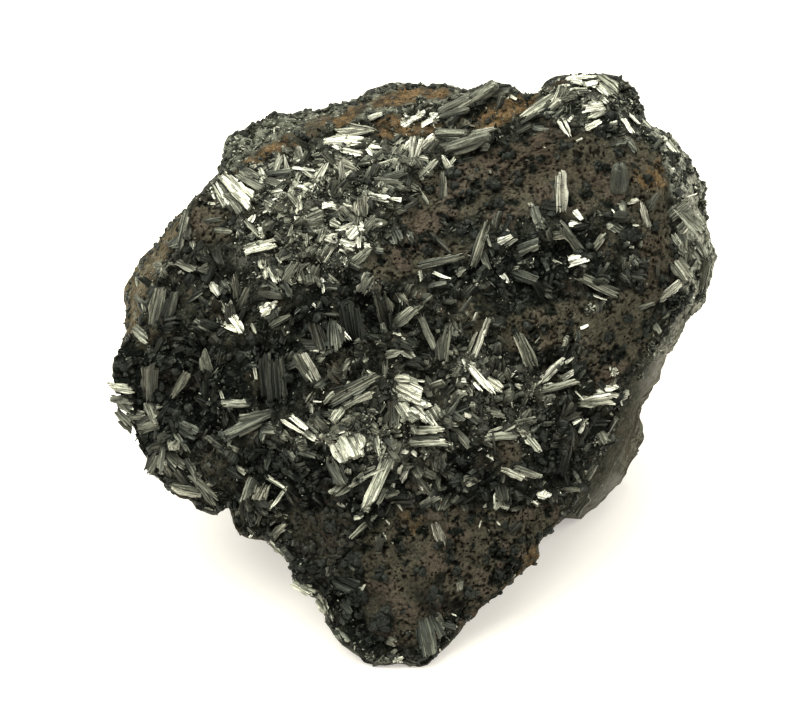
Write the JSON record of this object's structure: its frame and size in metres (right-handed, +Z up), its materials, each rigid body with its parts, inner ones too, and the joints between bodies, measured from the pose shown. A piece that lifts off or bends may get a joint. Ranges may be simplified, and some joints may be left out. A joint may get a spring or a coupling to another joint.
{
  "type": "pyrolusite specimen",
  "caption": "Free-standing hand specimen of pyrolusite: bladed metallic crystals and sheaves seated on a brown-black manganese oxide matrix with a sloping display face.",
  "frame": {"origin": "centre of the bounding box in plan, on the surface that the specimen rests on", "axes": "+Z up, -Y towards the front that the sloping display face looks to, +X to the right seen from the front"},
  "size_m": [0.087, 0.07, 0.0603],
  "materials": {
    "matrix": "rough porous earthy crust, brown to soot black, with ochre stains",
    "crystal": "striated steel-grey to silvery metallic crystal blades"
  },
  "bodies": {
    "root": {"matrix_rock": "matrix", "crystal_fan_upper_left": "crystal", "crystal_blade_left_rim": "crystal", "crystal_sheaf_left_shoulder": "crystal", "crystal_blade_left_bright": "crystal", "crystal_sheaf_left_dark": "crystal", "crystal_sheaf_crest_upper": "crystal", "crystal_sheaf_crest_lower": "crystal", "crystal_blade_crest_pale": "crystal", "crystal_blade_knob_twin": "crystal", "crystal_sheaf_knob_bright": "crystal", "crystal_blade_knob_right": "crystal", "crystal_fan_knob_top": "crystal", "crystal_sheaf_right_tall": "crystal", "crystal_sheaf_right_dark": "crystal", "crystal_needles_right": "crystal", "crystal_blade_pale_upper_centre": "crystal", "crystal_blade_long_upper_centre": "crystal", "crystal_blade_curved_right": "crystal", "crystal_sheaf_right_long": "crystal", "crystal_sheaf_right_rim": "crystal", "crystal_sheaf_shelf": "crystal", "crystal_sheaf_centre_upper": "crystal", "crystal_blade_centre_pale": "crystal", "crystal_sheaf_centre_grey": "crystal", "crystal_blade_centre_bright": "crystal", "crystal_blade_right_cream_upper": "crystal", "crystal_blade_right_cream_lower": "crystal", "crystal_sheaf_right_low_bright": "crystal", "crystal_blade_low_pale": "crystal", "crystal_blade_low_small": "crystal", "crystal_sheaf_low_split": "crystal", "crystal_sheaf_heart_bright": "crystal", "crystal_sheaf_left_point": "crystal", "crystal_blade_left_upper": "crystal", "crystal_columns_left_centre": "crystal", "crystal_blade_centre_left_bright": "crystal", "crystal_sheaf_centre_long": "crystal", "crystal_blade_low_left": "crystal", "crystal_fan_low_left": "crystal", "crystal_sheaf_heart_low": "crystal", "crystal_fan_left_rim": "crystal", "crystal_fan_lower_left": "crystal", "crystal_blade_lower_centre": "crystal", "crystal_blade_lower_long": "crystal", "crystal_blade_lower_arrow": "crystal", "crystal_fan_bottom": "crystal"}
  },
  "joints": []
}
